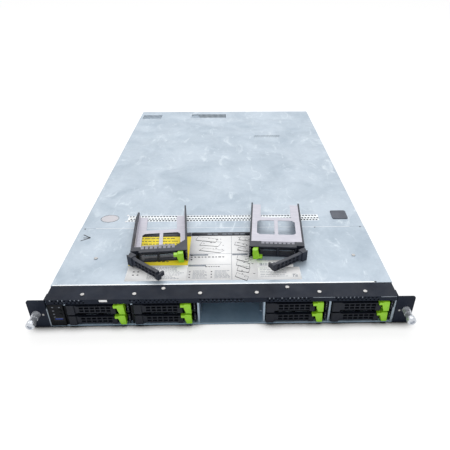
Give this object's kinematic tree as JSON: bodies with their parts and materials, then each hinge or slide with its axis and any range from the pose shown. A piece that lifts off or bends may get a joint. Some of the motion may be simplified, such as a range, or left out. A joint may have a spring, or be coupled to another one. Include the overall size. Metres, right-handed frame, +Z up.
{
  "type": "rack server",
  "caption": "One-unit rack server: slide-in drive carriers with lever and latch, thumbscrew ears, sliding top cover, fans and plug-in power supplies, with loose carriers lying on the cover.",
  "frame": {"origin": "middle of the underside of the floor, in the plane of the rear faces of the rack ears", "axes": "+X across the front to the right as seen from the front, +Y from the front to the back, +Z up"},
  "size_m": [0.4826, 0.8169, 0.0597],
  "materials": {
    "galvanised_steel": "galvanised, dull",
    "black_paint": "satin",
    "cage_steel": "plain",
    "dark_plastic": "fine grain",
    "panel_plastic": "fine grain",
    "green_plastic": "satin",
    "tray_steel": "pinkish grey",
    "bright_metal": "nickel plated",
    "circuit_board": "solder resist",
    "cooler_metal": "plain",
    "fan_plastic": "plain"
  },
  "bodies": {
    "chassis": {"chassis_base": "galvanised_steel", "drive_cage": "cage_steel", "front_top_plate": "black_paint", "ear_left": "black_paint", "ear_right": "black_paint", "front_cover": "galvanised_steel", "cover_screws": "bright_metal", "control_panel": "panel_plastic", "panel_board": "circuit_board", "drive_backplane": "circuit_board", "system_board": "circuit_board", "processor_coolers": "cooler_metal", "memory_modules": "circuit_board", "fan_frames": "fan_plastic"},
    "carrier_1": {"carrier_1": "dark_plastic"},
    "lever_1": {"lever_1": "dark_plastic"},
    "latch_1": {"latch_1": "green_plastic"},
    "carrier_2": {"carrier_2": "dark_plastic"},
    "lever_2": {"lever_2": "dark_plastic"},
    "latch_2": {"latch_2": "green_plastic"},
    "carrier_3": {"carrier_3": "dark_plastic"},
    "lever_3": {"lever_3": "dark_plastic"},
    "latch_3": {"latch_3": "green_plastic"},
    "carrier_4": {"carrier_4": "dark_plastic"},
    "lever_4": {"lever_4": "dark_plastic"},
    "latch_4": {"latch_4": "green_plastic"},
    "carrier_5": {"carrier_5": "dark_plastic"},
    "lever_5": {"lever_5": "dark_plastic"},
    "latch_5": {"latch_5": "green_plastic"},
    "carrier_6": {"carrier_6": "dark_plastic"},
    "lever_6": {"lever_6": "dark_plastic"},
    "latch_6": {"latch_6": "green_plastic"},
    "carrier_7": {"carrier_7": "dark_plastic"},
    "lever_7": {"lever_7": "dark_plastic"},
    "latch_7": {"latch_7": "green_plastic"},
    "carrier_8": {"carrier_8": "dark_plastic"},
    "lever_8": {"lever_8": "dark_plastic"},
    "latch_8": {"latch_8": "green_plastic"},
    "loose_carrier_left": {"loose_frame_left": "dark_plastic", "loose_tray_left": "tray_steel"},
    "loose_lever_left": {"loose_lever_left": "dark_plastic"},
    "loose_latch_left": {"loose_latch_left": "green_plastic"},
    "loose_carrier_right": {"loose_frame_right": "dark_plastic", "loose_tray_right": "tray_steel"},
    "loose_lever_right": {"loose_lever_right": "dark_plastic"},
    "loose_latch_right": {"loose_latch_right": "green_plastic"},
    "thumbscrew_left": {"thumbscrew_left": "bright_metal"},
    "thumbscrew_right": {"thumbscrew_right": "bright_metal"},
    "rear_cover": {"rear_cover": "galvanised_steel"},
    "cover_button": {"cover_button": "bright_metal"},
    "power_button": {"power_button": "panel_plastic"},
    "id_button": {"id_button": "panel_plastic"},
    "fan_rotor_1": {"fan_rotor_1": "fan_plastic"},
    "fan_rotor_2": {"fan_rotor_2": "fan_plastic"},
    "fan_rotor_3": {"fan_rotor_3": "fan_plastic"},
    "fan_rotor_4": {"fan_rotor_4": "fan_plastic"},
    "power_supply_1": {"power_supply_1": "cage_steel"},
    "supply_latch_1": {"supply_latch_1": "green_plastic"},
    "power_supply_2": {"power_supply_2": "cage_steel"},
    "supply_latch_2": {"supply_latch_2": "green_plastic"}
  },
  "joints": [
    {"name": "carrier_1_slide", "type": "slide", "parent": "chassis", "child": "carrier_1", "axis": [0, -1, 0], "range_m": [0, 0.11]},
    {"name": "lever_1_hinge", "type": "hinge", "parent": "carrier_1", "child": "lever_1", "pos_m": [-0.19185, 0.005, 0.0103], "axis": [0, 0, -1], "range_deg": [0, 30]},
    {"name": "latch_1_slide", "type": "slide", "parent": "carrier_1", "child": "latch_1", "axis": [1, 0, 0], "range_m": [0, 0.0022], "stiffness_N_per_m": 400},
    {"name": "carrier_2_slide", "type": "slide", "parent": "chassis", "child": "carrier_2", "axis": [0, -1, 0], "range_m": [0, 0.11]},
    {"name": "lever_2_hinge", "type": "hinge", "parent": "carrier_2", "child": "lever_2", "pos_m": [-0.19185, 0.005, 0.0274], "axis": [0, 0, -1], "range_deg": [0, 30]},
    {"name": "latch_2_slide", "type": "slide", "parent": "carrier_2", "child": "latch_2", "axis": [1, 0, 0], "range_m": [0, 0.0022], "stiffness_N_per_m": 400},
    {"name": "carrier_3_slide", "type": "slide", "parent": "chassis", "child": "carrier_3", "axis": [0, -1, 0], "range_m": [0, 0.11]},
    {"name": "lever_3_hinge", "type": "hinge", "parent": "carrier_3", "child": "lever_3", "pos_m": [-0.1087, 0.005, 0.0103], "axis": [0, 0, -1], "range_deg": [0, 30]},
    {"name": "latch_3_slide", "type": "slide", "parent": "carrier_3", "child": "latch_3", "axis": [1, 0, 0], "range_m": [0, 0.0022], "stiffness_N_per_m": 400},
    {"name": "carrier_4_slide", "type": "slide", "parent": "chassis", "child": "carrier_4", "axis": [0, -1, 0], "range_m": [0, 0.11]},
    {"name": "lever_4_hinge", "type": "hinge", "parent": "carrier_4", "child": "lever_4", "pos_m": [-0.1087, 0.005, 0.0274], "axis": [0, 0, -1], "range_deg": [0, 30]},
    {"name": "latch_4_slide", "type": "slide", "parent": "carrier_4", "child": "latch_4", "axis": [1, 0, 0], "range_m": [0, 0.0022], "stiffness_N_per_m": 400},
    {"name": "carrier_5_slide", "type": "slide", "parent": "chassis", "child": "carrier_5", "axis": [0, -1, 0], "range_m": [0, 0.11]},
    {"name": "lever_5_hinge", "type": "hinge", "parent": "carrier_5", "child": "lever_5", "pos_m": [0.0576, 0.005, 0.0103], "axis": [0, 0, -1], "range_deg": [0, 30]},
    {"name": "latch_5_slide", "type": "slide", "parent": "carrier_5", "child": "latch_5", "axis": [1, 0, 0], "range_m": [0, 0.0022], "stiffness_N_per_m": 400},
    {"name": "carrier_6_slide", "type": "slide", "parent": "chassis", "child": "carrier_6", "axis": [0, -1, 0], "range_m": [0, 0.11]},
    {"name": "lever_6_hinge", "type": "hinge", "parent": "carrier_6", "child": "lever_6", "pos_m": [0.0576, 0.005, 0.0274], "axis": [0, 0, -1], "range_deg": [0, 30]},
    {"name": "latch_6_slide", "type": "slide", "parent": "carrier_6", "child": "latch_6", "axis": [1, 0, 0], "range_m": [0, 0.0022], "stiffness_N_per_m": 400},
    {"name": "carrier_7_slide", "type": "slide", "parent": "chassis", "child": "carrier_7", "axis": [0, -1, 0], "range_m": [0, 0.11]},
    {"name": "lever_7_hinge", "type": "hinge", "parent": "carrier_7", "child": "lever_7", "pos_m": [0.14075, 0.005, 0.0103], "axis": [0, 0, -1], "range_deg": [0, 30]},
    {"name": "latch_7_slide", "type": "slide", "parent": "carrier_7", "child": "latch_7", "axis": [1, 0, 0], "range_m": [0, 0.0022], "stiffness_N_per_m": 400},
    {"name": "carrier_8_slide", "type": "slide", "parent": "chassis", "child": "carrier_8", "axis": [0, -1, 0], "range_m": [0, 0.11]},
    {"name": "lever_8_hinge", "type": "hinge", "parent": "carrier_8", "child": "lever_8", "pos_m": [0.14075, 0.005, 0.0274], "axis": [0, 0, -1], "range_deg": [0, 30]},
    {"name": "latch_8_slide", "type": "slide", "parent": "carrier_8", "child": "latch_8", "axis": [1, 0, 0], "range_m": [0, 0.0022], "stiffness_N_per_m": 400},
    {"name": "loose_carrier_left_lift", "type": "slide", "parent": "chassis", "child": "loose_carrier_left", "axis": [0, 0, 1], "range_m": [0, 0.1]},
    {"name": "loose_lever_left_hinge", "type": "hinge", "parent": "loose_carrier_left", "child": "loose_lever_left", "pos_m": [-0.12301, 0.07523, 0.0515], "axis": [0, 0, -1], "range_deg": [-45, 5]},
    {"name": "loose_latch_left_slide", "type": "slide", "parent": "loose_carrier_left", "child": "loose_latch_left", "axis": [0.9959, 0.0906, 0], "range_m": [0, 0.0022], "stiffness_N_per_m": 400},
    {"name": "loose_carrier_right_lift", "type": "slide", "parent": "chassis", "child": "loose_carrier_right", "axis": [0, 0, 1], "range_m": [0, 0.1]},
    {"name": "loose_lever_right_hinge", "type": "hinge", "parent": "loose_carrier_right", "child": "loose_lever_right", "pos_m": [0.11092, 0.0843, 0.0515], "axis": [0, 0, 1], "range_deg": [-38, 10]},
    {"name": "loose_latch_right_slide", "type": "slide", "parent": "loose_carrier_right", "child": "loose_latch_right", "axis": [-0.9976, 0.0698, 0], "range_m": [0, 0.0022], "stiffness_N_per_m": 400},
    {"name": "thumbscrew_left_spin", "type": "hinge", "parent": "chassis", "child": "thumbscrew_left", "pos_m": [-0.23255, 0, 0.0215], "axis": [0, -1, 0], "continuous": true},
    {"name": "thumbscrew_right_spin", "type": "hinge", "parent": "chassis", "child": "thumbscrew_right", "pos_m": [0.23255, 0, 0.0215], "axis": [0, -1, 0], "continuous": true},
    {"name": "rear_cover_slide", "type": "slide", "parent": "chassis", "child": "rear_cover", "axis": [0, 1, 0], "range_m": [0, 0.014]},
    {"name": "cover_button_press", "type": "slide", "parent": "rear_cover", "child": "cover_button", "axis": [0, 0, -1], "range_m": [0, 0.002], "stiffness_N_per_m": 800},
    {"name": "power_button_press", "type": "slide", "parent": "chassis", "child": "power_button", "axis": [0, 1, 0], "range_m": [0, 0.0007], "stiffness_N_per_m": 800},
    {"name": "id_button_press", "type": "slide", "parent": "chassis", "child": "id_button", "axis": [0, 1, 0], "range_m": [0, 0.0007], "stiffness_N_per_m": 800},
    {"name": "fan_rotor_1_spin", "type": "hinge", "parent": "chassis", "child": "fan_rotor_1", "pos_m": [-0.14, 0.215, 0.0214], "axis": [0, 1, 0], "continuous": true},
    {"name": "fan_rotor_2_spin", "type": "hinge", "parent": "chassis", "child": "fan_rotor_2", "pos_m": [-0.04, 0.215, 0.0214], "axis": [0, 1, 0], "continuous": true},
    {"name": "fan_rotor_3_spin", "type": "hinge", "parent": "chassis", "child": "fan_rotor_3", "pos_m": [0.06, 0.215, 0.0214], "axis": [0, 1, 0], "continuous": true},
    {"name": "fan_rotor_4_spin", "type": "hinge", "parent": "chassis", "child": "fan_rotor_4", "pos_m": [0.16, 0.215, 0.0214], "axis": [0, 1, 0], "continuous": true},
    {"name": "power_supply_1_slide", "type": "slide", "parent": "chassis", "child": "power_supply_1", "axis": [0, 1, 0], "range_m": [0, 0.18]},
    {"name": "supply_latch_1_slide", "type": "slide", "parent": "power_supply_1", "child": "supply_latch_1", "axis": [1, 0, 0], "range_m": [0, 0.003], "stiffness_N_per_m": 800},
    {"name": "power_supply_2_slide", "type": "slide", "parent": "chassis", "child": "power_supply_2", "axis": [0, 1, 0], "range_m": [0, 0.18]},
    {"name": "supply_latch_2_slide", "type": "slide", "parent": "power_supply_2", "child": "supply_latch_2", "axis": [1, 0, 0], "range_m": [0, 0.003], "stiffness_N_per_m": 800}
  ]
}
